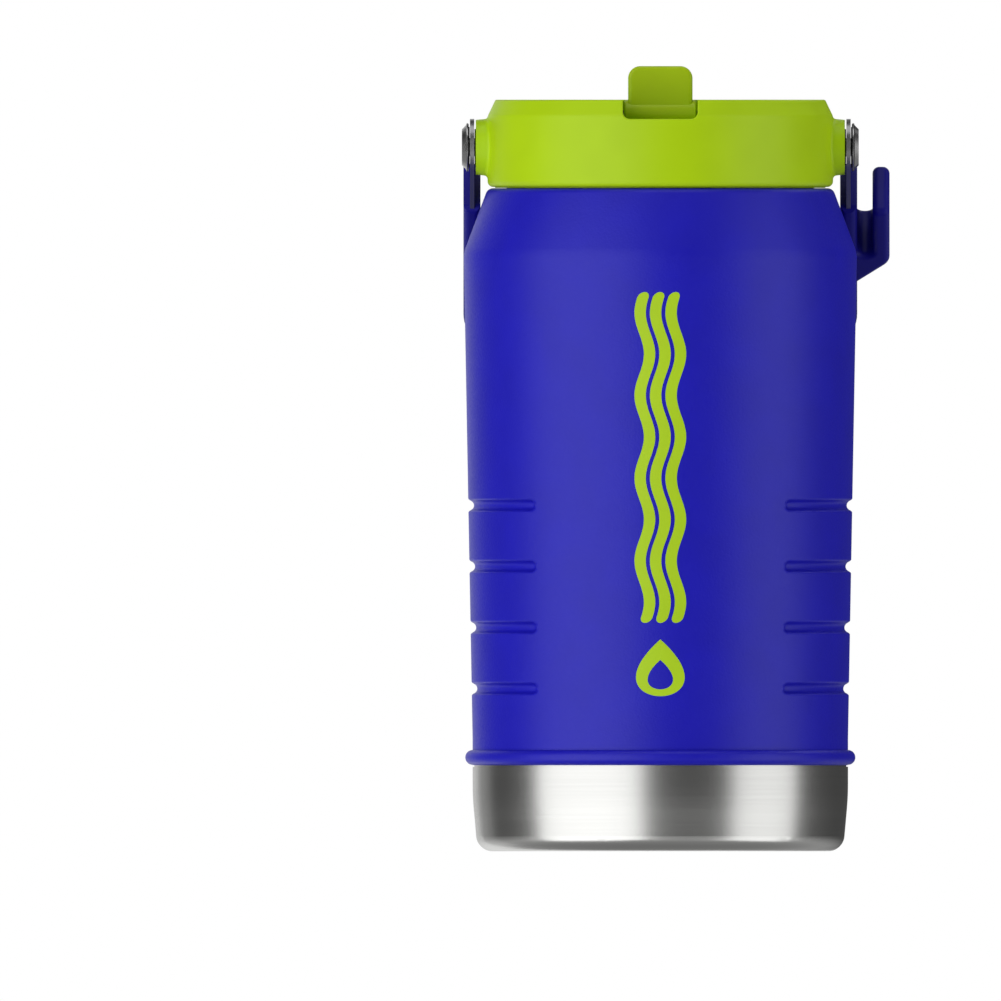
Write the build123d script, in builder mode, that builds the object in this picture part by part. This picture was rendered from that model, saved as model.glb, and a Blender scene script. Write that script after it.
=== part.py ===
from build123d import *
from math import cos, hypot, radians, sin
import os

os.makedirs("parts", exist_ok=True)

# An insulated flip-spout water jug. The jug stands on z = 0 about the Z axis, its spout to
# the front (-Y) and its fence hook to the right (+X). Sizes are in millimetres.

# ---- vessel ----
SHELL_T = 0.55                  # outer steel sheet
LINER_T = 0.45                 # inner steel sheet
FOOT_R = 61.5                   # outer radius at the bottom of the painted wall
WIDE_R = 64.4                   # widest radius, just under the shoulder
SHELL_BOTTOM = 28.2
TAPER_START = 37.0              # the wall is straight below this and widens above it
SHOULDER_BOTTOM = 196.0
SHOULDER_TOP = 217.2
SHOULDER_TOP_R = 56.5
NECK_R = 49.6
RIM_TOP = 231.0
BEAD_R = 2.7
BEAD_AXIS_R = 61.3
BEAD_Z = 31.0
GROOVE_R = 1.96                 # ball-nosed grip grooves pressed into both flanks
GROOVE_PROUD = 0.19             # how far the groove's axis lies outside the wall
GROOVE_PITCH = 20.0
GROOVE_LOWEST = 53.3
GROOVE_COUNT = 4
GROOVE_HALF_ANGLE = 49.5
THREAD_PITCH = 5.0
THREAD_TURNS = 1.5
THREAD_START = 219.6
NECK_CREST_R = 50.8
LINER_R = 57.0
LINER_BOTTOM = 8.5
LINER_NECK_R = 47.4
LINER_SHOULDER = 200.0
LINER_NECK_Z = 214.0

# ---- base cup ----
CUP_T = 0.6
CUP_TOP = 27.7
CUP_WAIST_Z = 18.0
CUP_FOOT_R = 59.9
FOOT_RING_R = 46.5
RECESS_R = 44.0
RECESS_Z = 2.0
LAP_T = 0.6
LAP_BOTTOM = 24.0
LAP_TOP = 36.8

# ---- lid ----
LID_BOTTOM = 217.6
LID_TOP = 246.2
LID_R = 56.6
LID_TOP_R = 54.0
LID_CHAMFER_Z = 241.0
LID_WALL = 2.4
LID_INNER_R = LID_R - LID_WALL
CEILING = LID_TOP - LID_WALL
NOTCH_W = 24.4
NOTCH_FLOOR = 239.9
NOTCH_CORNER = 2.2
NOTCH_RIM = 0.5                 # rounding round the notch's opening in the flat top
TROUGH_W = 28.8
TROUGH_BACK = -22.9
TROUGH_BOTTOM = 235.3
POCKET_FLOOR = 237.5
POCKET_FRONT = -46.9
POCKET_BACK = -24.9
PORT_Y = -30.0                  # spout pivot, drink port and straw share this line
PIVOT_Z = 241.5
BARREL_POCKET_R = 5.0
TUBE_R = 5.0
TUBE_BORE = 2.9
TUBE_STEP = 221.0
BARB_BOTTOM = 210.0
VENT_Y = -16.0

# ---- inner cap, gasket and seals ----
SKIRT_R = 54.1
SKIRT_INNER = 52.6
SKIRT_BOTTOM = 217.3
SKIRT_CREST = 51.15
BRIM_BOTTOM = 233.0
BRIM_T = 1.6
PLUG_R = 45.6
PLUG_BOTTOM = 222.0
PLUG_T = 1.8
PLUG_ROUND = 1.0
RING_R = 0.75                   # section radius of the seal round the drink tube
VENT_STEM_R = 1.5
VENT_CAP_R = 4.0
GASKET_IN = 46.0
GASKET_OUT = 50.0
SEAL_BOTTOM = 235.9
SEAL_R = 4.4
FIT_GAP = 0.05                  # running and seating clearance

# ---- spout ----
BARREL_R = 4.6
BARREL_W = 23.8
TAB_W = 21.1
TAB_T = 7.0
TAB_TOP = 257.2
TAB_CORNER = 4.0
TAB_EDGE = 1.2
MOUTH_W = 12.0
MOUTH_T = 3.6
PIN_R = 1.25
PIN_IN = 9.0
PIN_OUT = 14.2

# ---- straw ----
STRAW_R = 4.9
STRAW_BORE = 4.0
STRAW_TOP = 220.5
STRAW_BOTTOM = 12.0

# ---- handle pivots, distances out from the jug's axis ----
HINGE_Z = 230.6
BOSS_R = 9.0
BOSS_ROOT_R = 9.5
BOSS_FACE = 60.45
BOSS_IN = 55.0
BOSS_FILLET = 1.2
WASHER_T = 0.4
WASHER_R = 6.0
TAB_IN = 60.95
TAB_OUT = 62.35
OUTER_WASHER_IN = 62.45
HEAD_IN = 62.75
OUTER_WASHER_R = 6.7
HEAD_RIM_OUT = 63.7
HEAD_R = 7.95
HEAD_STEP_R = 7.2
HEAD_FACE_R = 5.9
HEAD_OUT = 65.0
SHOULDER_R = 3.0
SHANK_R = 1.95
SHANK_IN = 54.8
INSERT_IN = 54.6
INSERT_OUT = 60.0
INSERT_R = 3.2
SOCKET_AF = 3.0
SOCKET_DEPTH = 1.5

# ---- handle, in its own plane: across the jug, and along the arms from the pivot ----
HANDLE_TILT = 52.0              # how far the folded handle leans back from straight down
HANDLE_W = 20.0
ARM_IN = 58.9
ARM_OUT = 64.5
ARM_START = 20.2
BAR_IN = 92.0
BAR_OUT = 104.5
BAR_INNER_R = 16.0
BAR_OUTER_R = 26.0
STEEL_TAB_R = 9.3
STEEL_TAB_END = 46.0
KEY_HOLE_R = 2.5
KEY_HOLES = (28.0, 38.0)
HOOK_SLOT_OUT = 69.5
HOOK_OUT = 75.1
HOOK_FLOOR = 45.2
HOOK_TIP = 21.8
HOOK_ROOT = 60.1
HOOK_EDGE = 2.1                 # rounding along the handle's long edges
HOOK_HEEL_R = 5.0
HOOK_TIP_R = 2.2
HOOK_FLOOR_R = 2.3

TILT = radians(HANDLE_TILT)
PIVOT_AXIS = Axis((0, 0, HINGE_Z), (1, 0, 0))
PIVOT_PLANE = Plane(origin=(0, 0, HINGE_Z), x_dir=(1, 0, 0), z_dir=(0, -1, 0))
# across the jug, then along the arms away from the pivot
HANDLE_PLANE = Plane(origin=(0, 0, HINGE_Z), x_dir=(1, 0, 0), z_dir=(0, cos(TILT), sin(TILT)))
TAB_PLANE = Plane(origin=(TAB_IN, 0, HINGE_Z), x_dir=(0, sin(TILT), -cos(TILT)), z_dir=(1, 0, 0))


def save(name, builder):
    """Label a finished sub-part and write it under its own name."""
    builder.part.label = name
    export_step(builder.part, f"parts/{name}.step")


def radial_plane(angle, height=0.0):
    """Upright plane through the jug's axis: x runs outward at the angle, y runs up."""
    turn = radians(angle)
    outward = (cos(turn), sin(turn), 0)
    return Plane(origin=(0, 0, height), x_dir=outward, z_dir=(sin(turn), -cos(turn), 0))


def sheet_ring(corners, rounds, thickness):
    """Spin a pressed sheet whose outer face follows the corners, thick to the left."""
    with BuildSketch(Plane.XZ) as section:
        with BuildLine():
            chain = FilletPolyline(*corners, radius=rounds)
            offset(chain, amount=thickness, side=Side.LEFT)
        make_face()
    revolve(section.sketch, axis=Axis.Z)


def filled_ring(corners, rounds):
    """Spin the whole space between the axis and a chain that climbs from bottom to top."""
    with BuildSketch(Plane.XZ) as section:
        with BuildLine():
            chain = FilletPolyline(*corners, radius=rounds)
            Polyline(chain @ 1, (0, (chain @ 1).Y), (0, (chain @ 0).Y), chain @ 0)
        make_face()
    revolve(section.sketch, axis=Axis.Z)


def band(inner, outer, low, high, mode=Mode.ADD):
    """Plain ring about the jug's axis between two radii and two heights."""
    with BuildSketch(Plane.XY.offset(low)) as section:
        Circle(outer)
        if inner:
            Circle(inner, mode=Mode.SUBTRACT)
    extrude(section.sketch, amount=high - low, mode=mode)


def wall_radius(height):
    """Outer radius of the tapered wall."""
    share = (height - TAPER_START) / (SHOULDER_BOTTOM - TAPER_START)
    return FOOT_R + share * (WIDE_R - FOOT_R)


def shell_chain(depth):
    """Corners and rounds of the painted shell, moved in by a sheet thickness."""
    corners = [
        (FOOT_R - depth, SHELL_BOTTOM),
        (FOOT_R - depth, TAPER_START),
        (WIDE_R - depth, SHOULDER_BOTTOM - 0.2 * depth),
        (SHOULDER_TOP_R - 0.7 * depth, SHOULDER_TOP - depth),
        (NECK_R - depth, SHOULDER_TOP - depth),
        (NECK_R - depth, RIM_TOP),
    ]
    return corners, [60.0, 10.0 - depth, 2.5 - depth, 1.0 + depth]


def press_grooves(radius):
    """Cut the grip grooves: ball-ended arcs, stacked on both flanks."""
    for side in (0, 180):
        start = side - GROOVE_HALF_ANGLE
        for row in range(GROOVE_COUNT):
            height = GROOVE_LOWEST + row * GROOVE_PITCH
            reach = wall_radius(height) + GROOVE_PROUD
            with BuildSketch(radial_plane(start, height)) as section:
                with Locations((reach, 0)):
                    Circle(radius)
            revolve(section.sketch, axis=Axis.Z, revolution_arc=2 * GROOVE_HALF_ANGLE,
                    mode=Mode.SUBTRACT)
            for angle in (start, start + 2 * GROOVE_HALF_ANGLE):
                turn = radians(angle)
                with Locations((reach * cos(turn), reach * sin(turn), height)):
                    Sphere(radius, mode=Mode.SUBTRACT)


# ================= vessel =================

with BuildPart() as shell_cavity:
    filled_ring(*shell_chain(SHELL_T))
    press_grooves(GROOVE_R + SHELL_T)

with BuildPart() as neck_thread:
    with BuildLine() as thread_path:
        Helix(pitch=THREAD_PITCH, height=THREAD_PITCH * THREAD_TURNS, radius=NECK_R,
              center=(0, 0, THREAD_START))
    with BuildSketch(Plane(origin=(NECK_R, 0, THREAD_START), x_dir=(1, 0, 0), z_dir=(0, -1, 0))):
        with BuildLine():
            Polyline((-0.4, -1.4), (NECK_CREST_R - NECK_R, -0.5), (NECK_CREST_R - NECK_R, 0.5),
                     (-0.4, 1.4), close=True)
        make_face()
    sweep(path=thread_path.wires()[0], is_frenet=True)

with BuildPart() as outer_shell:
    filled_ring(*shell_chain(0.0))
    with BuildSketch(Plane.XZ):
        with Locations((BEAD_AXIS_R, BEAD_Z)):
            Circle(BEAD_R)
    revolve(axis=Axis.Z)
    press_grooves(GROOVE_R)
    add(neck_thread.part)
    add(shell_cavity.part, mode=Mode.SUBTRACT)
save("outer_shell", outer_shell)

with BuildPart() as inner_liner:
    liner_corners = [(0, LINER_BOTTOM), (LINER_R, LINER_BOTTOM), (LINER_R, LINER_SHOULDER),
                     (LINER_NECK_R, LINER_NECK_Z), (LINER_NECK_R, RIM_TOP + LINER_T)]
    sheet_ring(liner_corners, [14.0, 8.0, 8.0], LINER_T)
    band(LINER_NECK_R - LINER_T, NECK_R, RIM_TOP, RIM_TOP + LINER_T)
save("inner_liner", inner_liner)

with BuildPart() as base_cup:
    cup_corners = [(0, RECESS_Z), (RECESS_R, RECESS_Z), (FOOT_RING_R, 0), (CUP_FOOT_R, 0),
                   (FOOT_R, CUP_WAIST_Z), (FOOT_R, CUP_TOP)]
    sheet_ring(cup_corners, [1.0, 1.7, 5.4, 90.0], CUP_T)
    band(FOOT_R - SHELL_T - LAP_T, FOOT_R - SHELL_T, LAP_BOTTOM, LAP_TOP)
save("base_cup", base_cup)

with BuildPart() as vacuum_seal_disc:
    band(0, 9.0, RECESS_Z - 0.5, RECESS_Z)
save("vacuum_seal_disc", vacuum_seal_disc)

with BuildPart() as getter_capsule:
    band(0, 6.0, LINER_BOTTOM - 2.5, LINER_BOTTOM)
save("getter_capsule", getter_capsule)


# ================= lid =================

def is_boss_root(edge):
    """True for the edge where a pivot boss meets the lid's side."""
    middle = edge.position_at(0.25)
    reach = hypot(middle.Y, middle.Z - HINGE_Z)
    return BOSS_R + 0.2 < reach < BOSS_ROOT_R + 0.2 and abs(middle.X) < LID_R + 0.3


def is_notch_rim(edge):
    """True for an edge of the spout's opening in the lid's flat top."""
    middle = edge.position_at(0.5)
    beside = abs(middle.X) < NOTCH_W / 2 + 0.1 and middle.Y < POCKET_BACK + 1
    return beside and middle.Z > LID_TOP - 0.1


with BuildPart() as lid_cap:
    with BuildSketch(Plane.XZ):
        with BuildLine():
            skin = FilletPolyline((0, CEILING), (LID_TOP_R - 2.0, CEILING), (LID_INNER_R, 240.0),
                                  (LID_INNER_R, LID_BOTTOM), (LID_R, LID_BOTTOM),
                                  (LID_R - 0.1, LID_CHAMFER_Z), (LID_TOP_R, LID_TOP), (0, LID_TOP),
                                  radius=[1.0, 2.0, 0.3, 1.9, 2.0, 0.8])
            Line(skin @ 1, skin @ 0)
        make_face()
    revolve(axis=Axis.Z)
    # pivot bosses
    with BuildSketch(PIVOT_PLANE):
        with BuildLine():
            Polyline((BOSS_IN, 0), (BOSS_IN, BOSS_ROOT_R), (BOSS_FACE, BOSS_R), (BOSS_FACE, 0),
                     close=True)
        make_face()
        mirror(about=Plane.YZ)
    revolve(axis=PIVOT_AXIS)
    fillet(lid_cap.edges().filter_by(is_boss_root), BOSS_FILLET)
    # trough that holds the spout
    with BuildSketch(Plane.XY.offset(TROUGH_BOTTOM)):
        Circle(LID_INNER_R + 0.4)
        with Locations((0, TROUGH_BACK - LID_R / 2)):
            Rectangle(TROUGH_W, LID_R, mode=Mode.INTERSECT)
    extrude(amount=CEILING + 0.4 - TROUGH_BOTTOM)
    # drink tube and the barb that the straw pushes onto
    with BuildSketch(Plane.XY.offset(TUBE_STEP)):
        with Locations((0, PORT_Y)):
            Circle(TUBE_R)
    extrude(amount=TROUGH_BOTTOM + 0.4 - TUBE_STEP)
    with BuildSketch(Plane.XY.offset(BARB_BOTTOM)):
        with Locations((0, PORT_Y)):
            Circle(STRAW_BORE)
    extrude(amount=TUBE_STEP + 0.4 - BARB_BOTTOM)
    # open notch at the front, cut in from the rim
    with BuildSketch(Plane.XZ.offset(-POCKET_FRONT)) as notch:
        with Locations((0, NOTCH_FLOOR + LID_WALL * 2)):
            Rectangle(NOTCH_W, LID_WALL * 4)
        fillet(notch.vertices().group_by(Axis.Y)[0], NOTCH_CORNER)
    extrude(amount=LID_R, mode=Mode.SUBTRACT)
    # deeper pocket that the spout turns and folds into
    with BuildSketch(Plane.YZ):
        with Locations((PORT_Y, PIVOT_Z)):
            Circle(BARREL_POCKET_R)
        with Locations((POCKET_FRONT, POCKET_FLOOR)):
            Rectangle(PORT_Y - POCKET_FRONT, LID_WALL * 4, align=(Align.MIN, Align.MIN))
        with Locations((POCKET_BACK, PIVOT_Z)):
            Rectangle(BARREL_POCKET_R * 2, LID_WALL * 4, align=(Align.MAX, Align.MIN))
    extrude(amount=NOTCH_W / 2, both=True, mode=Mode.SUBTRACT)
    fillet(lid_cap.edges().filter_by(is_notch_rim), NOTCH_RIM)
    # seat for the spout's seal, then the bore below it
    with BuildSketch(Plane.XY.offset(SEAL_BOTTOM)):
        with Locations((0, PORT_Y)):
            Circle(SEAL_R)
    extrude(amount=PIVOT_Z - SEAL_BOTTOM, mode=Mode.SUBTRACT)
    with BuildSketch(Plane.XY.offset(BARB_BOTTOM)):
        with Locations((0, PORT_Y)):
            Circle(TUBE_BORE)
    extrude(amount=PIVOT_Z - BARB_BOTTOM, mode=Mode.SUBTRACT)
    # holes for the spout's pins and the pivot inserts
    with BuildSketch(Plane.YZ):
        with Locations((PORT_Y, PIVOT_Z)):
            Circle(PIN_R + FIT_GAP)
    extrude(amount=TROUGH_W / 2, both=True, mode=Mode.SUBTRACT)
    with BuildSketch(PIVOT_PLANE):
        with Locations((INSERT_IN, 0)):
            Rectangle(BOSS_FACE - INSERT_IN, INSERT_R, align=(Align.MIN, Align.MIN))
        mirror(about=Plane.YZ)
    revolve(axis=PIVOT_AXIS, mode=Mode.SUBTRACT)
save("lid_cap", lid_cap)

with BuildPart() as skirt_thread:
    with BuildLine() as skirt_path:
        Helix(pitch=THREAD_PITCH, height=THREAD_PITCH * THREAD_TURNS, radius=SKIRT_INNER,
              center=(0, 0, THREAD_START + THREAD_PITCH / 2))
    with BuildSketch(Plane(origin=(SKIRT_INNER, 0, THREAD_START + THREAD_PITCH / 2),
                           x_dir=(1, 0, 0), z_dir=(0, -1, 0))):
        with BuildLine():
            Polyline((0.4, -1.4), (SKIRT_CREST - SKIRT_INNER, -0.5),
                     (SKIRT_CREST - SKIRT_INNER, 0.5), (0.4, 1.4), close=True)
        make_face()
    sweep(path=skirt_path.wires()[0], is_frenet=True)

with BuildPart() as lid_inner_cap:
    band(SKIRT_INNER, SKIRT_R, SKIRT_BOTTOM, BRIM_BOTTOM + BRIM_T)
    band(0, SKIRT_R, BRIM_BOTTOM, BRIM_BOTTOM + BRIM_T)
    band(0, PLUG_R, PLUG_BOTTOM, BRIM_BOTTOM)
    fillet(lid_inner_cap.faces().sort_by(Axis.Z)[1].edges(), PLUG_ROUND)
    band(0, PLUG_R - PLUG_T, PLUG_BOTTOM + PLUG_T, BRIM_BOTTOM + BRIM_T, mode=Mode.SUBTRACT)
    add(skirt_thread.part)
    with Locations((0, PORT_Y, PLUG_BOTTOM + PLUG_T)):
        CounterBoreHole(TUBE_R + FIT_GAP, TUBE_R + 2 * RING_R, PLUG_T - 0.8)
    with Locations((0, VENT_Y, PLUG_BOTTOM + PLUG_T)):
        Hole(VENT_STEM_R)
save("lid_inner_cap", lid_inner_cap)

with BuildPart() as lid_foam:
    band(0, PLUG_R - PLUG_T - 0.3, PLUG_BOTTOM + PLUG_T + 0.3, BRIM_BOTTOM + BRIM_T - 0.2)
    with Locations((0, PORT_Y, BRIM_BOTTOM + BRIM_T)):
        Hole(TUBE_R + 2 * RING_R + 0.7)
    with Locations((0, VENT_Y, BRIM_BOTTOM + BRIM_T)):
        Hole(VENT_CAP_R + 0.6)
save("lid_foam", lid_foam)

with BuildPart() as lid_gasket:
    band(GASKET_IN, GASKET_OUT, RIM_TOP + LINER_T + FIT_GAP, BRIM_BOTTOM - FIT_GAP)
save("lid_gasket", lid_gasket)

with BuildPart() as port_o_ring:
    with Locations((0, PORT_Y, PLUG_BOTTOM + 0.8 + RING_R)):
        Torus(TUBE_R + RING_R, RING_R)
save("port_o_ring", port_o_ring)

with BuildPart() as vent_valve:
    with BuildSketch(radial_plane(0).offset(-VENT_Y)):
        with BuildLine():
            Polyline((0, PLUG_BOTTOM - 1.6), (1.5, PLUG_BOTTOM - 1.5), (VENT_CAP_R, PLUG_BOTTOM - 0.3),
                     (VENT_CAP_R, PLUG_BOTTOM), (VENT_STEM_R, PLUG_BOTTOM),
                     (VENT_STEM_R, PLUG_BOTTOM + PLUG_T), (VENT_STEM_R + 0.7, PLUG_BOTTOM + PLUG_T),
                     (VENT_STEM_R + 0.5, PLUG_BOTTOM + PLUG_T + 1.6),
                     (0, PLUG_BOTTOM + PLUG_T + 3.0), close=True)
        make_face()
    revolve(axis=Axis((0, VENT_Y, 0), (0, 0, 1)))
save("vent_valve", vent_valve)

# ================= spout =================

with BuildPart() as flip_spout:
    with BuildSketch(Plane.YZ):
        with Locations((PORT_Y, PIVOT_Z)):
            Circle(BARREL_R)
    extrude(amount=BARREL_W / 2, both=True)
    chamfer(flip_spout.edges(), 0.5)
    with BuildSketch(Plane.XZ.offset(-PORT_Y - TAB_T / 2)) as tab:
        with Locations((0, PIVOT_Z)):
            Rectangle(TAB_W, TAB_TOP - PIVOT_Z, align=(Align.CENTER, Align.MIN))
        fillet(tab.vertices().group_by(Axis.Y)[-1], TAB_CORNER)
    extrude(amount=TAB_T)
    lip = flip_spout.edges().filter_by(lambda edge: edge.center().Z > PIVOT_Z + BARREL_R)
    fillet(lip, TAB_EDGE)
    with BuildSketch(Plane.XY.offset(PIVOT_Z)):
        with Locations((0, PORT_Y)):
            SlotOverall(MOUTH_W, MOUTH_T)
    extrude(amount=TAB_TOP - PIVOT_Z, mode=Mode.SUBTRACT)
    with BuildSketch(Plane.XY.offset(PIVOT_Z - BARREL_R)):
        with Locations((0, PORT_Y)):
            Circle(TUBE_BORE)
    extrude(amount=BARREL_R + MOUTH_T / 2, mode=Mode.SUBTRACT)
    with BuildSketch(Plane.YZ):
        with Locations((PORT_Y, PIVOT_Z)):
            Circle(PIN_R)
    extrude(amount=BARREL_W / 2, both=True, mode=Mode.SUBTRACT)
    with BuildSketch(Plane.YZ):
        with Locations((PORT_Y, PIVOT_Z)):
            Circle(PIN_R)
    extrude(amount=PIN_IN, both=True)
    with BuildSketch(Plane.XY.offset(PIVOT_Z - BARREL_R)):
        with Locations((0, PORT_Y)):
            Circle(TUBE_BORE)
    extrude(amount=BARREL_R + MOUTH_T / 2, mode=Mode.SUBTRACT)
save("flip_spout", flip_spout)

with BuildPart() as spout_seal:
    with BuildSketch(Plane.XY.offset(SEAL_BOTTOM)):
        with Locations((0, PORT_Y)):
            Circle(SEAL_R)
            Circle(TUBE_BORE, mode=Mode.SUBTRACT)
    extrude(amount=2.0)
    with BuildSketch(Plane.YZ):
        with Locations((PORT_Y, PIVOT_Z)):
            Circle(BARREL_R + FIT_GAP)
    extrude(amount=SEAL_R * 2, both=True, mode=Mode.SUBTRACT)
save("spout_seal", spout_seal)

with BuildPart() as straw:
    with BuildSketch(Plane.XY.offset(STRAW_BOTTOM)):
        with Locations((0, PORT_Y)):
            Circle(STRAW_R)
            Circle(STRAW_BORE, mode=Mode.SUBTRACT)
    extrude(amount=STRAW_TOP - STRAW_BOTTOM)
    split(bisect_by=Plane(origin=(0, PORT_Y, STRAW_BOTTOM + STRAW_R / 2), z_dir=(0, -0.5, 1)))
save("straw", straw)

# ================= handle and its pivots =================

with BuildPart() as right_handle_tab:
    with BuildSketch(TAB_PLANE):
        Circle(STEEL_TAB_R)
        Rectangle(ARM_START + 4.0, 2 * STEEL_TAB_R, align=(Align.MIN, Align.CENTER))
        Rectangle(STEEL_TAB_END, 2 * STEEL_TAB_R - 4.0, align=(Align.MIN, Align.CENTER))
        Circle(SHOULDER_R + FIT_GAP, mode=Mode.SUBTRACT)
        with Locations([(reach, 0) for reach in KEY_HOLES]):
            Circle(KEY_HOLE_R, mode=Mode.SUBTRACT)
    extrude(amount=TAB_OUT - TAB_IN)
save("right_handle_tab", right_handle_tab)

with BuildPart() as left_handle_tab:
    mirror(right_handle_tab.part, about=Plane.YZ)
save("left_handle_tab", left_handle_tab)

with BuildPart() as carry_handle:
    with BuildSketch(HANDLE_PLANE) as bail:
        with Locations((0, ARM_START)):
            Rectangle(2 * ARM_OUT, BAR_OUT - ARM_START, align=(Align.CENTER, Align.MIN))
        fillet(bail.vertices().group_by(Axis.Y)[-1], BAR_OUTER_R)
        with BuildLine():
            hook = FilletPolyline((ARM_OUT - 1, HOOK_ROOT + 1),
                                  (HOOK_OUT, HOOK_ROOT - HOOK_OUT + ARM_OUT),
                                  (HOOK_OUT, HOOK_TIP), (HOOK_SLOT_OUT, HOOK_TIP),
                                  (HOOK_SLOT_OUT, HOOK_FLOOR), (ARM_OUT, HOOK_FLOOR),
                                  (ARM_OUT, HOOK_FLOOR - 3), (ARM_OUT - 1, HOOK_FLOOR - 3),
                                  radius=[HOOK_HEEL_R, HOOK_TIP_R, HOOK_TIP_R, HOOK_FLOOR_R,
                                          HOOK_FLOOR_R, 0.5])
            Line(hook @ 1, hook @ 0)
        make_face()
    extrude(amount=HANDLE_W / 2, both=True)
    with BuildSketch(HANDLE_PLANE) as hand_gap:
        Rectangle(2 * ARM_IN, BAR_IN, align=(Align.CENTER, Align.MIN))
        fillet(hand_gap.vertices().group_by(Axis.Y)[-1], BAR_INNER_R)
    extrude(amount=HANDLE_W, both=True, mode=Mode.SUBTRACT)
    sides = carry_handle.faces().filter_by(HANDLE_PLANE)
    fillet(sides.edges(), HOOK_EDGE)
    add(right_handle_tab.part, mode=Mode.SUBTRACT)
    add(left_handle_tab.part, mode=Mode.SUBTRACT)
save("carry_handle", carry_handle)


def pivot_ring(inner, outer, near, far, side):
    """Ring about the handle's pivot, between two distances out from the jug's axis."""
    with BuildSketch(Plane(origin=(side * near, 0, HINGE_Z), z_dir=(side, 0, 0))) as section:
        Circle(outer)
        Circle(inner, mode=Mode.SUBTRACT)
    extrude(section.sketch, amount=far - near)


for side, hand in ((1, "right"), (-1, "left")):
    with BuildPart() as pivot_insert:
        pivot_ring(SHANK_R, INSERT_R, INSERT_IN, INSERT_OUT, side)
    save(f"{hand}_pivot_insert", pivot_insert)

    with BuildPart() as inner_washer:
        pivot_ring(SHOULDER_R, WASHER_R, BOSS_FACE, BOSS_FACE + WASHER_T, side)
    save(f"{hand}_inner_washer", inner_washer)

    with BuildPart() as outer_washer:
        pivot_ring(SHOULDER_R, OUTER_WASHER_R, OUTER_WASHER_IN, HEAD_IN, side)
    save(f"{hand}_outer_washer", outer_washer)

    with BuildPart() as pivot_screw:
        with BuildSketch(PIVOT_PLANE):
            with BuildLine():
                Polyline((SHANK_IN, 0), (SHANK_IN, SHANK_R), (INSERT_OUT, SHANK_R),
                         (INSERT_OUT, SHOULDER_R), (HEAD_IN, SHOULDER_R), (HEAD_IN, HEAD_R - 0.4),
                         (HEAD_IN + 0.3, HEAD_R), (HEAD_RIM_OUT - 0.3, HEAD_R),
                         (HEAD_RIM_OUT, HEAD_STEP_R), (HEAD_OUT, HEAD_FACE_R), (HEAD_OUT, 0),
                         close=True)
            make_face()
        revolve(axis=PIVOT_AXIS)
        with BuildSketch(Plane.YZ.offset(HEAD_OUT)):
            with Locations((0, HINGE_Z)):
                RegularPolygon(SOCKET_AF / 2, 6, major_radius=False)
        extrude(amount=-SOCKET_DEPTH, mode=Mode.SUBTRACT)
        if side < 0:
            mirror(about=Plane.YZ, mode=Mode.REPLACE)
    save(f"{hand}_pivot_screw", pivot_screw)

    with BuildPart() as spout_pin:
        with BuildSketch(Plane.YZ.offset(side * PIN_IN)):
            with Locations((PORT_Y, PIVOT_Z)):
                Circle(PIN_R)
        extrude(amount=side * (PIN_OUT - PIN_IN))
    save(f"{hand}_spout_pin", spout_pin)
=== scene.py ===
from math import atan2, cos, hypot, pi, radians, sin, sqrt, tan

import bmesh
import bpy
from bpy.props import FloatProperty, FloatVectorProperty, IntProperty, PointerProperty
from mathutils import Matrix, Vector


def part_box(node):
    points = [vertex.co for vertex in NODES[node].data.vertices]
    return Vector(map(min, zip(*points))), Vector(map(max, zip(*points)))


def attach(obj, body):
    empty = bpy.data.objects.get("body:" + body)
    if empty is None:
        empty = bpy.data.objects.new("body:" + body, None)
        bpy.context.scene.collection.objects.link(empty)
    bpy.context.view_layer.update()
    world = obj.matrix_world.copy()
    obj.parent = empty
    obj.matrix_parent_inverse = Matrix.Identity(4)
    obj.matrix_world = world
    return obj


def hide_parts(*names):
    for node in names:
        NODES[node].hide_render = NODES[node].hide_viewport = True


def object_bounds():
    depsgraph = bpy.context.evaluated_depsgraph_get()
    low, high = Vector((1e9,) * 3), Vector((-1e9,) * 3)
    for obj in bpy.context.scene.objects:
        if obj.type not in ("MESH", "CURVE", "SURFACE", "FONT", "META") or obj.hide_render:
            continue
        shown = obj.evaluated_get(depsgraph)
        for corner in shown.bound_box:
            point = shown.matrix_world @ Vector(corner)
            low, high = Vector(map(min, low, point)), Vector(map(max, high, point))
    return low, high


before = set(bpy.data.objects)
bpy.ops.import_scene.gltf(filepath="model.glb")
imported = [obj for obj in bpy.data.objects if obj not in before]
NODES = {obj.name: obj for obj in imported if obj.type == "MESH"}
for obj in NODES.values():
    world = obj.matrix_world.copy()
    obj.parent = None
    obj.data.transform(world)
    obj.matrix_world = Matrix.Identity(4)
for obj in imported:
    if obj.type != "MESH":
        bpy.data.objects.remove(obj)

bl_info = {
    "name": "Insulated Water Jug",
    "version": (1, 0, 0),
    "blender": (4, 5, 0),
    "location": "View3D > Sidebar > Jug",
    "description": "Builds the visible pieces and finishes of an insulated flip-spout water jug",
    "category": "Object",
}

MM = 0.001
CAD_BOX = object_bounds()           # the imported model's box, before any piece is added
SHELL_LOW, SHELL_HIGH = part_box("outer_shell")
LID_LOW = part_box("lid_cap")[0]

# heights on the wall
TAPER_START = 37.0 * MM
SHOULDER_BOTTOM = 196.0 * MM
SHOULDER_TOP = LID_LOW.z + 7.2 * MM

# how finely the wall is divided
WALL_STEPS = 540                # round the jug
BEAD_STEPS = 16
LIP_SAMPLES = 3                 # each way across a groove's lip
GROOVE_BAND = 2.6 * MM          # half the height of the fine band at each groove
FINE_GAP = 0.3 * MM
PLAIN_GAP = 4.0 * MM            # between the grooves
TALL_GAP = 8.0 * MM             # above them

# the rolled bead's section is centred a little inside the wall's face
BEAD_RISE = 2.55 * MM           # above the wall's lower edge
BEAD_SUNK = 0.05 * MM

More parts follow.
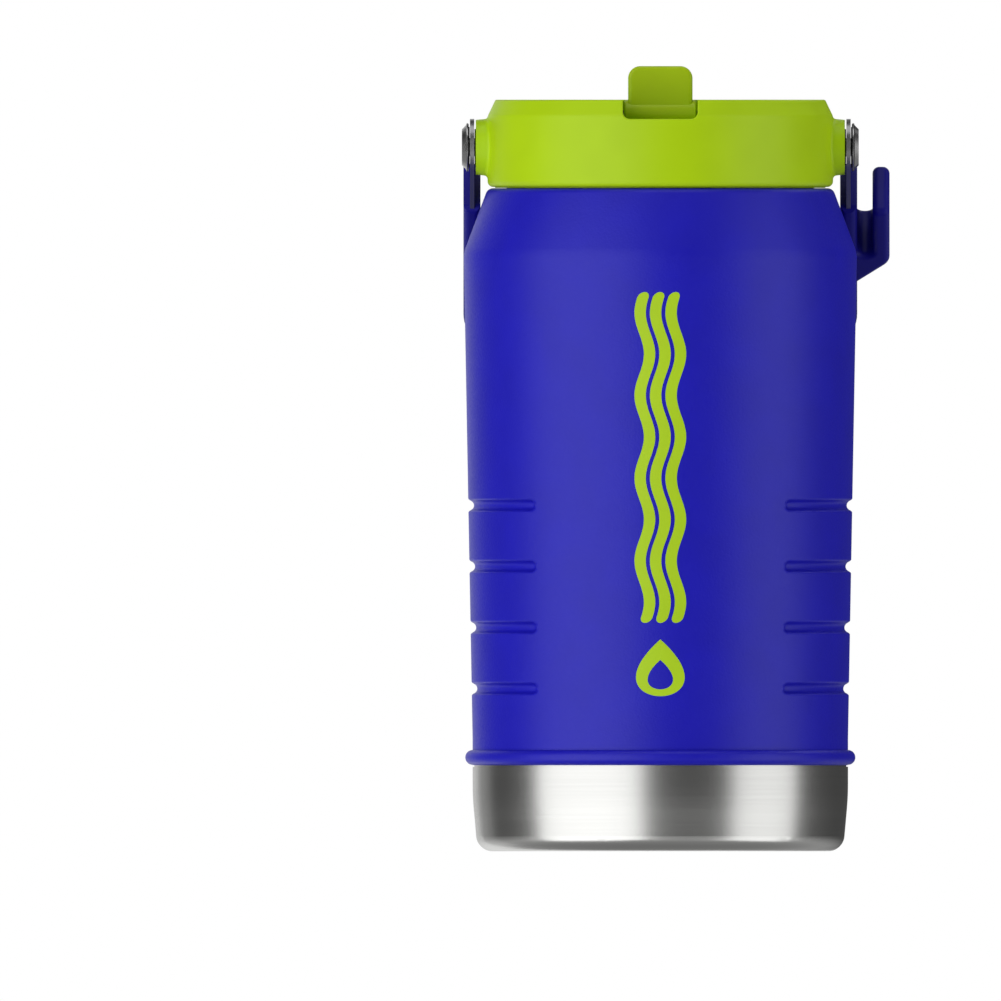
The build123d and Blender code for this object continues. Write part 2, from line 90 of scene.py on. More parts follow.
# the neck's thread ridge
THREAD_TURNS = 1.5
THREAD_PITCH = 5.0 * MM
THREAD_START = 2.4 * MM         # its first middle, above the shoulder
THREAD_HEIGHT = 1.2 * MM
THREAD_SUNK = 0.3 * MM
THREAD_FOOT = 1.4 * MM          # half widths at foot and crest
THREAD_CREST = 0.55 * MM
THREAD_STEPS = 180

# the print on the front
STRIPES = 3
STRIPE_SHARE = 0.74             # a stripe's width, as a share of the pitch
SPARE_SHARE = 0.35              # room for the sway, as a share of the pitch
SWAYS = 4                       # whole waves in a stripe's length
BLUNT_END = 0.0004              # least squared share of its width that a stripe's end keeps
DROP_HOLE = 0.52                # the hole's size, as a share of the drop's
DROP_HOLE_SUNK = 0.12           # how far the hole sits low, as a share of the drop's height
DROP_BELLY = 0.77               # greatest value of sin(t) sin(t / 2), where the drop is widest
INK_SUNK = 0.02 * MM            # how far the film starts inside the wall's face

# creases sharper than these stay sharp
WALL_CREASE = radians(40)
INK_CREASE = radians(60)

# the view and the studio
VIEW_LEFT = 57.4 * MM           # the view is centred this far left of the jug's middle
VIEW_HEIGHT = 114.9 * MM
VIEW_WIDTH = 327.9 * MM         # what the parallel view frames
VIEW_DISTANCE = 0.6
FLOOR_RADIUS = 1.0              # inside the lamps, so that it is lit all over
LAMP_TARGET = Vector((0, 0, 0.14))

# name, azimuth and climb in degrees, distance, width and height in metres, radiance
SOFTBOXES = (
    ("softbox_left", -45.5, 0, 1.1, 1.54, 2.0, 1.72),
    ("softbox_right", 67.5, 0, 1.2, 1.02, 2.0, 1.38),
    ("softbox_rear", -168, 0, 1.2, 0.80, 2.0, 0.75),
    ("softbox_rear_left", -140, 0, 1.2, 0.55, 2.0, 0.3),
    ("softbox_rear_right", 138, 48, 1.3, 0.80, 0.6, 1.35),
    ("softbox_top", 0, 80, 1.3, 0.9, 0.9, 1.6),
)
# the room's brightness by how far a direction climbs, from straight down to level and above
ROOM_GLOW = ((-1.0, 0.25), (-0.75, 0.3), (-0.45, 0.45), (-0.25, 0.25), (-0.1, 0.06))


def linear(hex_colour):
    """Turn an sRGB hex colour into the linear RGBA that shader sockets take."""
    channels = [int(hex_colour[i:i + 2], 16) / 255 for i in (1, 3, 5)]
    return [c / 12.92 if c <= 0.04045 else ((c + 0.055) / 1.055) ** 2.4
            for c in channels] + [1.0]


def per_metre(size_mm):
    """Texture scale that gives a pattern a real size, in millimetres."""
    return 1 / (size_mm * MM)


# ---------------------------------------------------------------- settings

class JugSizes(bpy.types.PropertyGroup):
    """Sizes of the pieces that are modelled here, in metres; places come from the frame."""

    wall_sheet: FloatProperty(
        name="Wall sheet", description="Thickness of the outer steel sheet",
        default=0.55 * MM, unit="LENGTH")
    shoulder_top_radius: FloatProperty(
        name="Shoulder top radius", description="Radius where the cone meets the flat above it",
        default=56.5 * MM, unit="LENGTH")
    neck_radius: FloatProperty(
        name="Neck radius", description="Outer radius of the threaded neck",
        default=49.6 * MM, unit="LENGTH")
    widest_radius: FloatProperty(
        name="Widest radius", description="Wall radius just under the shoulder",
        default=64.4 * MM, unit="LENGTH")
    foot_radius: FloatProperty(
        name="Foot radius", description="Wall radius just above the bead",
        default=61.5 * MM, unit="LENGTH")
    bead_radius: FloatProperty(
        name="Bead radius", description="Section radius of the rolled bead",
        default=2.45 * MM, unit="LENGTH")
    groove_depth: FloatProperty(
        name="Groove depth", description="Depth of the pressed grip grooves",
        default=1.85 * MM, unit="LENGTH")
    groove_half_width: FloatProperty(
        name="Groove half width", description="Half the width of a groove's ball nose",
        default=1.78 * MM, unit="LENGTH")
    groove_lip: FloatProperty(
        name="Groove lip", description="How far a groove's edge is rounded each way",
        default=0.35 * MM, unit="LENGTH")
    groove_pitch: FloatProperty(
        name="Groove pitch", description="Height from one groove to the next",
        default=20.0 * MM, unit="LENGTH")
    lowest_groove: FloatProperty(
        name="Lowest groove", description="Height of the lowest groove's middle",
        default=53.3 * MM, unit="LENGTH")
    groove_half_angle: FloatProperty(
        name="Groove half angle", description="How far a groove runs each way round the flank",
        default=radians(47.3), subtype="ANGLE")
    groove_rows: IntProperty(
        name="Groove rows", description="Grooves on each flank", default=4, min=1)
    print_width: FloatProperty(
        name="Print width", description="Width of the printed stripe block",
        default=17.0 * MM, unit="LENGTH")
    print_bottom: FloatProperty(
        name="Print bottom", description="Height of the stripe block's lower end",
        default=74.8 * MM, unit="LENGTH")
    print_top: FloatProperty(
        name="Print top", description="Height of the stripe block's upper end",
        default=183.2 * MM, unit="LENGTH")
    drop_width: FloatProperty(
        name="Drop width", description="Width of the printed water drop",
        default=16.0 * MM, unit="LENGTH")
    drop_height: FloatProperty(
        name="Drop height", description="Height of the printed water drop",
        default=18.6 * MM, unit="LENGTH")
    drop_middle: FloatProperty(
        name="Drop middle", description="Height of the water drop's middle",
        default=60.1 * MM, unit="LENGTH")
    print_film: FloatProperty(
        name="Print film", description="Thickness of the screen-printed ink",
        default=0.05 * MM, unit="LENGTH")


class JugColours(bpy.types.PropertyGroup):
    """Colours of the finishes, stored linear."""

    coat: FloatVectorProperty(
        name="Powder coat", description="Blue polyester powder coat on the wall",
        subtype="COLOR", size=4, min=0, max=1, default=linear("#1612B2"))
    handle: FloatVectorProperty(
        name="Handle", description="Blue nylon of the handle",
        subtype="COLOR", size=4, min=0, max=1, default=linear("#15127E"))
    lime: FloatVectorProperty(
        name="Lime", description="Lime polypropylene of the lid",
        subtype="COLOR", size=4, min=0, max=1, default=linear("#AED207"))
    # the spout is the lid's lime polypropylene; its darker colour is painted shade, for the shade
    # it sits in within the lid's notch
    spout: FloatVectorProperty(
        name="Spout", description="Lime of the flip spout, darkened as painted shade",
        subtype="COLOR", size=4, min=0, max=1, default=linear("#A6C104"))
    ink: FloatVectorProperty(
        name="Ink", description="Lime screen-print ink",
        subtype="COLOR", size=4, min=0, max=1, default=linear("#AED21E"))
    floor: FloatVectorProperty(
        name="Floor", description="Pale studio floor",
        subtype="COLOR", size=4, min=0, max=1, default=linear("#F7F7F7"))


# ---------------------------------------------------------------- materials

def node(tree, kind, links=None, **settings):
    """Add a shader node, set its properties or input values, and link {socket: output} into it."""
    made = tree.nodes.new(kind)
    for key, value in settings.items():
        if hasattr(made, key):
            setattr(made, key, value)
        else:
            made.inputs[key.replace("_", " ")].default_value = value
    for socket, output in (links or {}).items():
        tree.links.new(output, made.inputs[socket])
    return made


def blank_finish(name):
    """An empty node material, its tree and the piece's own coordinates."""
    finish = bpy.data.materials.new(name)
    finish.use_nodes = True
    tree = finish.node_tree
    tree.nodes.clear()
    return finish, tree, node(tree, "ShaderNodeTexCoord").outputs["Object"]


def powder_coat(name, colour):
    """Polyester powder coat, sprayed dry and baked: satin, its highlights broken by orange peel."""
    finish, tree, place = blank_finish(name)
    # peel cells about 0.75 mm across, over a slow change in film thickness
    peel = node(tree, "ShaderNodeTexNoise", {"Vector": place}, Scale=per_metre(0.75), Detail=1.5)
    film = node(tree, "ShaderNodeTexNoise", {"Vector": place}, Scale=per_metre(14.0), Detail=1.0)
    depth = node(tree, "ShaderNodeMapRange", {"Value": film.outputs["Fac"]},
                 From_Min=0.3, From_Max=0.7, To_Min=0.96, To_Max=1.04)
    tint = node(tree, "ShaderNodeHueSaturation", {"Value": depth.outputs[0]}, Color=colour)
    satin = node(tree, "ShaderNodeMapRange", {"Value": peel.outputs["Fac"]},
                 From_Min=0.3, From_Max=0.7, To_Min=0.38, To_Max=0.48)
    relief = node(tree, "ShaderNodeBump", {"Height": peel.outputs["Fac"]},
                  Strength=0.8, Distance=0.07 * MM)
    shader = node(tree, "ShaderNodeBsdfPrincipled",
                  {"Base Color": tint.outputs[0], "Roughness": satin.outputs[0],
                   "Normal": relief.outputs[0]},
                  Specular_IOR_Level=0.32)
    node(tree, "ShaderNodeOutputMaterial", {"Surface": shader.outputs[0]})
    return finish


def moulded_plastic(name, colour, texture_mm=0.45, low_rough=0.38, high_rough=0.46,
                    inner=0.0, shine=0.3):
    """Injection-moulded polymer: a fine spark-eroded mould texture and faint flow clouding."""
    finish, tree, place = blank_finish(name)
    texture = node(tree, "ShaderNodeTexNoise", {"Vector": place},
                   Scale=per_metre(texture_mm), Detail=2.0)
    clouds = node(tree, "ShaderNodeTexNoise", {"Vector": place}, Scale=per_metre(18.0), Detail=1.0)
    depth = node(tree, "ShaderNodeMapRange", {"Value": clouds.outputs["Fac"]},
                 From_Min=0.3, From_Max=0.7, To_Min=0.97, To_Max=1.03)
    tint = node(tree, "ShaderNodeHueSaturation", {"Value": depth.outputs[0]}, Color=colour)
    satin = node(tree, "ShaderNodeMapRange", {"Value": texture.outputs["Fac"]},
                 From_Min=0.3, From_Max=0.7, To_Min=low_rough, To_Max=high_rough)
    relief = node(tree, "ShaderNodeBump", {"Height": texture.outputs["Fac"]},
                  Strength=0.4, Distance=0.015 * MM)
    shader = node(tree, "ShaderNodeBsdfPrincipled",
                  {"Base Color": tint.outputs[0], "Roughness": satin.outputs[0],
                   "Normal": relief.outputs[0]},
                  IOR=1.49, Specular_IOR_Level=shine, Subsurface_Weight=inner,
                  Subsurface_Radius=(0.8 * MM, 1.0 * MM, 0.3 * MM), Subsurface_Scale=1.0)
    node(tree, "ShaderNodeOutputMaterial", {"Surface": shader.outputs[0]})
    return finish


def turned_metal(name, colour, along, low_rough=0.25, high_rough=0.28, anisotropy=0.3):
    """Metal satin-polished on a lathe: hair-fine lines run one way and soften reflections."""
    finish, tree, place = blank_finish(name)
    # polishing lines, drawn 0.7 mm apart, coarser than the real grit so that they show
    drawn = node(tree, "ShaderNodeMapping", {"Vector": place}, Scale=along)
    lines = node(tree, "ShaderNodeTexNoise", {"Vector": drawn.outputs[0]},
                 Scale=per_metre(0.7), Detail=1.0)
    depth = node(tree, "ShaderNodeMapRange", {"Value": lines.outputs["Fac"]},
                 From_Min=0.0, From_Max=1.0, To_Min=0.95, To_Max=1.05)
    tint = node(tree, "ShaderNodeHueSaturation", {"Value": depth.outputs[0]}, Color=colour)
    uneven = node(tree, "ShaderNodeMapRange", {"Value": lines.outputs["Fac"]},
                  From_Min=0.0, From_Max=1.0, To_Min=low_rough, To_Max=high_rough)
    relief = node(tree, "ShaderNodeBump", {"Height": lines.outputs["Fac"]},
                  Strength=0.05, Distance=0.003 * MM)
    shader = node(tree, "ShaderNodeBsdfPrincipled",
                  {"Base Color": tint.outputs[0], "Roughness": uneven.outputs[0],
                   "Normal": relief.outputs[0]},
                  Metallic=1.0, Anisotropic=anisotropy)
    node(tree, "ShaderNodeOutputMaterial", {"Surface": shader.outputs[0]})
    return finish


def silicone_rubber(name, colour):
    """Compression-moulded silicone: soft sheen, slightly translucent, with a faint dusting."""
    finish, tree, place = blank_finish(name)
    dust = node(tree, "ShaderNodeTexNoise", {"Vector": place}, Scale=per_metre(1.2), Detail=3.0)
    depth = node(tree, "ShaderNodeMapRange", {"Value": dust.outputs["Fac"]},
                 From_Min=0.3, From_Max=0.7, To_Min=0.93, To_Max=1.05)
    tint = node(tree, "ShaderNodeHueSaturation", {"Value": depth.outputs[0]}, Color=colour)
    dull = node(tree, "ShaderNodeMapRange", {"Value": dust.outputs["Fac"]},
                From_Min=0.3, From_Max=0.7, To_Min=0.5, To_Max=0.62)
    relief = node(tree, "ShaderNodeBump", {"Height": dust.outputs["Fac"]},
                  Strength=0.3, Distance=0.01 * MM)
    shader = node(tree, "ShaderNodeBsdfPrincipled",
                  {"Base Color": tint.outputs[0], "Roughness": dull.outputs[0],
                   "Normal": relief.outputs[0]},
                  Subsurface_Weight=0.15, Subsurface_Radius=(1.0 * MM, 0.8 * MM, 0.6 * MM),
                  Subsurface_Scale=1.0)
    node(tree, "ShaderNodeOutputMaterial", {"Surface": shader.outputs[0]})
    return finish


def closed_cell_foam(name, colour):
    """Expanded polyethylene foam: dull, with round cells that show as pits."""
    finish, tree, place = blank_finish(name)
    cells = node(tree, "ShaderNodeTexVoronoi", {"Vector": place}, Scale=per_metre(0.8))
    depth = node(tree, "ShaderNodeMapRange", {"Value": cells.outputs["Distance"]},
                 From_Min=0.0, From_Max=0.8, To_Min=0.85, To_Max=1.03)
    tint = node(tree, "ShaderNodeHueSaturation", {"Value": depth.outputs[0]}, Color=colour)
    relief = node(tree, "ShaderNodeBump", {"Height": cells.outputs["Distance"]},
                  Strength=0.6, Distance=0.12 * MM)
    shader = node(tree, "ShaderNodeBsdfPrincipled",
                  {"Base Color": tint.outputs[0], "Normal": relief.outputs[0]}, Roughness=0.92)
    node(tree, "ShaderNodeOutputMaterial", {"Surface": shader.outputs[0]})
    return finish


def light_table(name, colour):
    """Opal acrylic lit from below: matt and near white, with a barely visible tooth."""
    finish, tree, place = blank_finish(name)
    tooth = node(tree, "ShaderNodeTexNoise", {"Vector": place}, Scale=per_metre(2.0), Detail=2.0)
    depth = node(tree, "ShaderNodeMapRange", {"Value": tooth.outputs["Fac"]},
                 From_Min=0.3, From_Max=0.7, To_Min=0.995, To_Max=1.005)
    tint = node(tree, "ShaderNodeHueSaturation", {"Value": depth.outputs[0]}, Color=colour)
    shader = node(tree, "ShaderNodeBsdfPrincipled", {"Base Color": tint.outputs[0]},
                  Roughness=0.95, Specular_IOR_Level=0.1,
                  Emission_Color=colour, Emission_Strength=0.5)
    node(tree, "ShaderNodeOutputMaterial", {"Surface": shader.outputs[0]})
    return finish


# ---------------------------------------------------------------- mesh helpers

def rounded(corners, radii, steps=6):
    """Points of an open outline with an arc of each radius at its inner corners."""
    points = [Vector(corners[0])]
    for before, corner, after, radius in zip(corners, corners[1:], corners[2:], radii):
        back = (Vector(before) - Vector(corner)).normalized()
        ahead = (Vector(after) - Vector(corner)).normalized()
        half = back.angle(ahead) / 2
        centre = Vector(corner) + (back + ahead).normalized() * (radius / sin(half))
        start = Vector(corner) + back * (radius / tan(half)) - centre
        end = Vector(corner) + ahead * (radius / tan(half)) - centre
        sweep = start.angle_signed(end)
        points += [centre + Matrix.Rotation(-sweep * i / steps, 2) @ start
                   for i in range(steps + 1)]
    points.append(Vector(corners[-1]))
    return points


def divided(start, end, gap):
    """Points from start to end, the end left out, about a gap apart."""
    start, end = Vector(start), Vector(end)
    count = max(1, round((end - start).length / gap))
    return [start.lerp(end, i / count) for i in range(count)]


def spun(bm, outline, steps, turns=1.0, lift=0.0):
    """Spin a closed outline of (radius, height) points about the jug's axis, with any lift."""
    verts = [bm.verts.new((p[0], 0, p[1])) for p in outline]
    edges = [bm.edges.new(pair) for pair in zip(verts, verts[1:] + verts[:1])]
    bmesh.ops.spin(bm, geom=verts + edges, cent=(0, 0, 0), axis=(0, 0, 1), angle=2 * pi * turns,
                   dvec=(0, 0, lift / steps), steps=steps, use_merge=turns == 1 and not lift)
    return verts


def finished(name, bm, body, finish, slot, crease, *stands_for):
    """Close a bmesh into a smooth-shaded piece that rides on a body and stands for CAD nodes."""
    bmesh.ops.remove_doubles(bm, verts=bm.verts, dist=1e-7)
    bmesh.ops.recalc_face_normals(bm, faces=bm.faces)
    for face in bm.faces:
        face.smooth = True
    for edge in bm.edges:
        edge.smooth = not (len(edge.link_faces) == 2 and edge.calc_face_angle(0) > crease)
    mesh = bpy.data.meshes.new(name)
    bm.to_mesh(mesh)
    bm.free()
    mesh.materials.append(finish)
    piece = bpy.data.objects.new(name, mesh)
    bpy.context.scene.collection.objects.link(piece)
    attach(piece, body)
    if stands_for:
        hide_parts(*stands_for)


def dress(finish, *names):
    """Give CAD nodes their finish."""
    for name in names:
        materials = NODES[name].data.materials
        for index in range(len(materials)):
            materials[index] = finish


def wall_radius(sizes, height):
    """Outer radius of the tapered wall at a height."""
    share = min(max((height - TAPER_START) / (SHOULDER_BOTTOM - TAPER_START), 0), 1)
    return sizes.foot_radius + share * (sizes.widest_radius - sizes.foot_radius)


def groove_middles(sizes):
    """Heights of the grooves' middles, lowest first."""
    return [sizes.lowest_groove + row * sizes.groove_pitch for row in range(sizes.groove_rows)]


def groove_press(sizes, angle, height):
    """How far the wall is pressed in: ball-nosed grooves, averaged over a lip's width."""
    flank = min(abs(angle), pi - abs(angle))
    beyond = max(0.0, flank - sizes.groove_half_angle) * wall_radius(sizes, height)
    row = round((height - sizes.lowest_groove) / sizes.groove_pitch)
    row = min(max(row, 0), sizes.groove_rows - 1)
    distance = hypot(height - sizes.lowest_groove - row * sizes.groove_pitch, beyond)
    if distance > sizes.groove_half_width + sizes.groove_lip:
        return 0.0
    reaches = [(distance + sizes.groove_lip * step / LIP_SAMPLES) / sizes.groove_half_width
               for step in range(-LIP_SAMPLES, LIP_SAMPLES + 1)]
    presses = [sqrt(max(0.0, 1 - reach * reach)) for reach in reaches]
    return sizes.groove_depth * sum(presses) / len(presses)


# ---------------------------------------------------------------- pieces

class JUG_OT_stage(bpy.types.Operator):
    """Lay the floor and set the lights, world and camera"""
    bl_idname = "jug.stage"
    bl_label = "Stage"

    def execute(self, context):
        scene = context.scene
        low, high = CAD_BOX
        aim = Vector(((low.x + high.x) / 2 - VIEW_LEFT, 0, VIEW_HEIGHT))

        bm = bmesh.new()
        bmesh.ops.create_circle(bm, cap_ends=True, segments=96, radius=FLOOR_RADIUS)
        mesh = bpy.data.meshes.new("studio_floor")
        bm.to_mesh(mesh)
        bm.free()
        mesh.materials.append(light_table("Opal acrylic sheet", scene.jug_colours.floor))
        floor = bpy.data.objects.new("studio_floor", mesh)
        scene.collection.objects.link(floor)
        # the floor shows the jug's shadow, but doesn't hold back the light that comes from below it
        floor.visible_glossy = False
        floor.visible_diffuse = False
        floor.visible_shadow = False

        for name, azimuth, climb, distance, width, height, radiance in SOFTBOXES:
            lamp = bpy.data.lights.new(name, "AREA")
            lamp.shape = "RECTANGLE"
            lamp.size = width
            lamp.size_y = height
            lamp.energy = radiance * pi * width * height
            holder = bpy.data.objects.new(name, lamp)
            turn, lift = radians(azimuth), radians(climb)
            out = Vector((sin(turn) * cos(lift), -cos(turn) * cos(lift), sin(lift)))
            holder.location = LAMP_TARGET + out * distance
            holder.rotation_euler = out.to_track_quat("Z", "Y").to_euler()
            holder.visible_camera = False
            scene.collection.objects.link(holder)

        world = bpy.data.worlds.new("Studio surround")
        world.use_nodes = True
        tree = world.node_tree
        tree.nodes.clear()
        # a dim room that is lighter below, as over a pale floor; the camera sees plain white
        place = node(tree, "ShaderNodeTexCoord")
        parts = node(tree, "ShaderNodeSeparateXYZ", {"Vector": place.outputs["Generated"]})
        climb = node(tree, "ShaderNodeMapRange", {"Value": parts.outputs["Z"]},
                     From_Min=-1.0, From_Max=0.0)
        fill = node(tree, "ShaderNodeValToRGB", {"Fac": climb.outputs[0]})
        # the ramp's own black and white stops give way to the room's
        stops = fill.color_ramp.elements
        stops.remove(stops[0])
        for height, glow in ROOM_GLOW:
            stops.new(height + 1.0).color = (glow, glow, glow, 1.0)
        stops.remove(stops[len(stops) - 1])
        room = node(tree, "ShaderNodeBackground", {"Strength": fill.outputs[0]},
                    Color=linear("#FFFFFF"))
        backdrop = node(tree, "ShaderNodeBackground", Color=linear("#FFFFFF"), Strength=1.0)
        seen = node(tree, "ShaderNodeLightPath")
        both = node(tree, "ShaderNodeMixShader", {0: seen.outputs["Is Camera Ray"],
                                                  1: room.outputs[0], 2: backdrop.outputs[0]})
        node(tree, "ShaderNodeOutputWorld", {"Surface": both.outputs[0]})
        scene.world = world
        scene.view_settings.view_transform = "Standard"

        lens = bpy.data.cameras.new("camera")
        lens.type = "ORTHO"
        lens.ortho_scale = VIEW_WIDTH
        lens.clip_start = 0.01
        lens.clip_end = 20.0
        camera = bpy.data.objects.new("camera", lens)
        camera.location = aim + Vector((0, -VIEW_DISTANCE, 0))
        camera.rotation_euler = (radians(90), 0, 0)
        scene.collection.objects.link(camera)
        scene.camera = camera
        return {"FINISHED"}


class JUG_OT_wall(bpy.types.Operator):
    """Spin the powder-coated wall, press its grip grooves and add the neck thread"""
    bl_idname = "jug.wall"
    bl_label = "Wall"

    def execute(self, context):
        sizes = context.scene.jug_sizes
        coat = powder_coat("Powder-coated steel", context.scene.jug_colours.coat)

        bm = bmesh.new()
        spun(bm, self.outer_face(sizes) + self.inner_face(sizes), WALL_STEPS)
        bmesh.ops.remove_doubles(bm, verts=bm.verts, dist=1e-7)
        top = sizes.lowest_groove + sizes.groove_rows * sizes.groove_pitch
        for vert in bm.verts:
            if TAPER_START < vert.co.z < top:
                press = groove_press(sizes, atan2(vert.co.y, vert.co.x), vert.co.z)
                if press:
                    span = hypot(vert.co.x, vert.co.y)
                    vert.co.x *= (span - press) / span
                    vert.co.y *= (span - press) / span
        finished("jug_wall", bm, "bottle", coat, "blue_powder_coat", WALL_CREASE, "outer_shell")

        bm = bmesh.new()
        root = sizes.neck_radius - THREAD_SUNK
        crest = sizes.neck_radius + THREAD_HEIGHT
        start = SHOULDER_TOP + THREAD_START
        ridge = rounded([(root, start - THREAD_FOOT), (crest, start - THREAD_CREST),
                         (crest, start + THREAD_CREST), (root, start + THREAD_FOOT)],
                        [0.25 * MM, 0.25 * MM], steps=3)
        first = spun(bm, ridge, THREAD_STEPS, THREAD_TURNS, THREAD_TURNS * THREAD_PITCH)
        bm.faces.new(first)
        bm.verts.ensure_lookup_table()
        bm.faces.new(bm.verts[-len(ridge):])
        finished("neck_thread", bm, "bottle", coat, "blue_powder_coat", WALL_CREASE)
        return {"FINISHED"}

    def outer_face(self, sizes):
        """The wall's outside, from its lower edge over bead, flank and shoulder to the rim."""
        bottom, rim = SHELL_LOW.z, SHELL_HIGH.z
        bead_middle = bottom + BEAD_RISE
        bead_centre = sizes.foot_radius - BEAD_SUNK
        reach = sqrt(sizes.bead_radius ** 2 - BEAD_SUNK ** 2)
        outline = [(sizes.foot_radius, bottom)]
        for i in range(BEAD_STEPS + 1):
            turn = -pi / 2 + pi * i / BEAD_STEPS
            outline.append((bead_centre + sizes.bead_radius * cos(turn),
                            bead_middle + sizes.bead_radius * sin(turn)))
        # the bead's ends lie on the wall's face
        outline[1] = (sizes.foot_radius, bead_middle - reach)
        outline[-1] = (sizes.foot_radius, bead_middle + reach)

        previous = (sizes.foot_radius, TAPER_START)
        for middle in groove_middles(sizes):
            for edge, gap in ((middle - GROOVE_BAND, PLAIN_GAP), (middle + GROOVE_BAND, FINE_GAP)):
                target = (wall_radius(sizes, edge), edge)
                outline += divided(previous, target, gap)
                previous = target

        cone_foot = (sizes.widest_radius, SHOULDER_BOTTOM)
        cone_top = (sizes.shoulder_top_radius, SHOULDER_TOP)
        waist = rounded([(sizes.foot_radius, TAPER_START), cone_foot, cone_top],
                        [10.0 * MM], steps=14)
        shoulder = rounded([cone_foot, cone_top, (sizes.neck_radius, SHOULDER_TOP),
                            (sizes.neck_radius, rim)], [2.5 * MM, 1.0 * MM])
        outline += divided(previous, waist[1], TALL_GAP)
        return outline + waist[1:-1] + shoulder[1:-1] + [(sizes.neck_radius, rim)]

    def inner_face(self, sizes):
        """The wall's inside from the rim down to the lower edge, with a few rows at each groove."""
        sheet = sizes.wall_sheet
        neck = sizes.neck_radius - sheet
        under = SHOULDER_TOP - sheet
        outline = [(neck, SHELL_HIGH.z), (neck, under), (sizes.shoulder_top_radius - sheet, under),
                   (sizes.widest_radius - sheet, SHOULDER_BOTTOM)]
        for middle in reversed(groove_middles(sizes)):
            for step in (3, 2, 1, 0, -1, -2, -3):
                height = middle + step * MM
                outline.append((wall_radius(sizes, height) - sheet, height))
        foot = sizes.foot_radius - sheet
        return outline + [(foot, TAPER_START), (foot, SHELL_LOW.z)]


def laid_ink(bm, sizes, along, across, place):
    """Lay an ink film on the wall's front; place(u, v) gives distance across and height."""
    sheet = bmesh.ops.create_grid(bm, x_segments=across, y_segments=along, size=0.5)["verts"]
    for vert in sheet:
        aside, up = place(vert.co.y + 0.5, vert.co.x + 0.5)
        radius = wall_radius(sizes, up) - INK_SUNK
        turn = aside / radius
        vert.co = (radius * sin(turn), -radius * cos(turn), up)
    faces = list(dict.fromkeys(face for vert in sheet for face in vert.link_faces))
    raised = bmesh.ops.extrude_face_region(bm, geom=faces, use_keep_orig=True)["geom"]
    for vert in raised:
        if isinstance(vert, bmesh.types.BMVert):
            span = hypot(vert.co.x, vert.co.y)
            vert.co.xy *= (span + INK_SUNK + sizes.print_film) / span


class JUG_OT_print(bpy.types.Operator):
    """Print the plain wave stripes and the water drop on the front"""
    bl_idname = "jug.print"
    bl_label = "Print"

    def execute(self, context):
        sizes = context.scene.jug_sizes
        # screen-print ink: a thin, even film, a little duller than the moulded lime
        ink = moulded_plastic("Screen-print ink", context.scene.jug_colours.ink, 0.3, 0.42, 0.5)
        pitch = sizes.print_width / (STRIPES + SPARE_SHARE)
        width = pitch * STRIPE_SHARE
        sway = (sizes.print_width - pitch * (STRIPES - 1) - width) / 2
        length = sizes.print_top - sizes.print_bottom

        bm = bmesh.new()
        for stripe in range(STRIPES):
            middle = (stripe - (STRIPES - 1) / 2) * pitch

            def on_stripe(share, side):
                """A place on a swaying stripe with round ends."""
                end = min(share, 1 - share) * length / (width / 2)
                half = width / 2 * sqrt(max(BLUNT_END, 1 - max(0, 1 - end) ** 2))
                swing = middle + sway * sin(share * 2 * pi * SWAYS)
                return swing + (2 * side - 1) * half, sizes.print_bottom + share * length

            # rows crowd towards the ends, so that the round ends are smooth
            laid_ink(bm, sizes, 240, 3, lambda u, v: on_stripe((1 - cos(pi * u)) / 2, v))
        finished("print_waves", bm, "bottle", ink, "lime_plastic", INK_CREASE)

        def on_drop(turn, size, lift):
            """A place on a water drop's outline, round below and pointed above."""
            aside = size * sizes.drop_width / 2 * sin(turn) * sin(turn / 2) / DROP_BELLY
            up = sizes.drop_middle + lift + size * sizes.drop_height / 2 * cos(turn)
            return Vector((aside, up))

        bm = bmesh.new()
        sunk = DROP_HOLE_SUNK * sizes.drop_height
        laid_ink(bm, sizes, 128, 4, lambda u, v: on_drop(2 * pi * u, DROP_HOLE, -sunk).lerp(
            on_drop(2 * pi * u, 1.0, 0.0), v))
        finished("print_drop", bm, "bottle", ink, "lime_plastic", INK_CREASE)
        return {"FINISHED"}


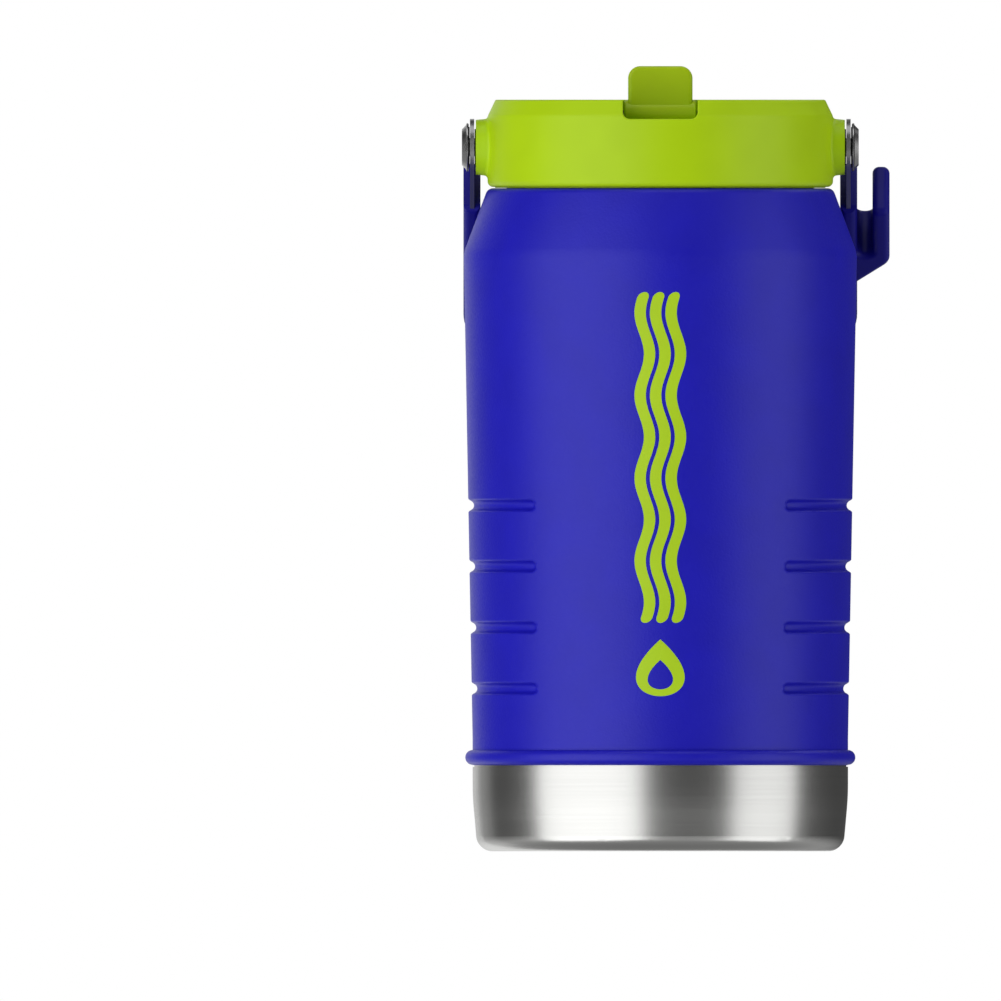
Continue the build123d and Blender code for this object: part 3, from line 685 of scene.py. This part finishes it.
class JUG_OT_finishes(bpy.types.Operator):
    """Give the carried-over parts their finishes"""
    bl_idname = "jug.finishes"
    bl_label = "Finishes"

    def execute(self, context):
        colours = context.scene.jug_colours
        # polypropylene: satin and waxy, with a little light inside it
        lime = moulded_plastic("Moulded lime polypropylene", colours.lime,
                               0.5, 0.38, 0.46, 0.1, 0.25)
        dress(lime, "lid_cap", "lid_inner_cap")
        # the spout's lime is the lid's, made darker: painted shade for the shade the spout sits in
        shaded_lime = moulded_plastic("Moulded lime polypropylene, painted shade", colours.spout,
                                    0.5, 0.36, 0.44, 0.1, 0.25)
        dress(shaded_lime, "flip_spout")
        # nylon: harder and duller, and opaque
        blue = moulded_plastic("Moulded blue nylon", colours.handle, 0.4, 0.4, 0.48, shine=0.14)
        dress(blue, "carry_handle")
        acetal = moulded_plastic("Black acetal", linear("#151515"), 0.3, 0.45, 0.55)
        dress(acetal, "right_inner_washer", "left_inner_washer",
              "right_outer_washer", "left_outer_washer")
        # an extruded tube is glossier and clearer than a moulding
        tube = moulded_plastic("Extruded polypropylene", linear("#DCE4E4"), 0.6, 0.25, 0.35, 0.3)
        dress(tube, "straw")

        # lines run round the cup, and along or round the small parts
        steel = turned_metal("Satin-polished stainless steel", linear("#C3C3C1"),
                             (0.01, 0.01, 1.0))
        dress(steel, "base_cup", "inner_liner", "vacuum_seal_disc", "getter_capsule")
        # the tabs are the same stainless steel as the cup, given a darker colour: painted shade on
        # the tabs
        strip = turned_metal("Stainless strip in painted shade", linear("#8E8E90"),
                             (1.0, 0.1, 0.1), 0.33, 0.38, 0.3)
        dress(strip, "right_handle_tab", "left_handle_tab")
        # the screws are the same stainless steel as the cup, given a darker colour: painted shade
        # on the screw heads
        turned = turned_metal("Turned stainless steel in painted shade", linear("#9A9A9A"),
                              (1.0, 0.15, 0.15), 0.25, 0.3, 0.2)
        dress(turned, "right_pivot_screw", "left_pivot_screw")
        dark = turned_metal("Oxidised steel wire", linear("#404040"),
                            (0.1, 1.0, 1.0), 0.4, 0.5, 0.0)
        dress(dark, "right_spout_pin", "left_spout_pin")
        brass = turned_metal("Turned brass", linear("#C89A4A"), (1.0, 0.15, 0.15), 0.22, 0.32, 0.2)
        dress(brass, "right_pivot_insert", "left_pivot_insert")

        silicone = silicone_rubber("Moulded silicone", linear("#D8D8D2"))
        dress(silicone, "lid_gasket", "spout_seal", "port_o_ring", "vent_valve")
        dress(closed_cell_foam("Closed-cell foam", linear("#E4E2D8")), "lid_foam")
        return {"FINISHED"}


class JUG_PT_panel(bpy.types.Panel):
    """Lists the jug's build steps"""
    bl_idname = "JUG_PT_panel"
    bl_label = "Insulated water jug"
    bl_space_type = "VIEW_3D"
    bl_region_type = "UI"
    bl_category = "Jug"

    def draw(self, context):
        for step in STEPS:
            self.layout.operator(step.bl_idname)


STEPS = (JUG_OT_stage, JUG_OT_wall, JUG_OT_print, JUG_OT_finishes)
CLASSES = (JugSizes, JugColours) + STEPS + (JUG_PT_panel,)


def register():
    for cls in CLASSES:
        bpy.utils.register_class(cls)
    bpy.types.Scene.jug_sizes = PointerProperty(type=JugSizes)
    bpy.types.Scene.jug_colours = PointerProperty(type=JugColours)


def unregister():
    del bpy.types.Scene.jug_sizes
    del bpy.types.Scene.jug_colours
    for cls in reversed(CLASSES):
        bpy.utils.unregister_class(cls)


def main():
    register()
    for step in STEPS:
        group, action = step.bl_idname.split(".")
        getattr(getattr(bpy.ops, group), action)()


if __name__ == "__main__":
    main()
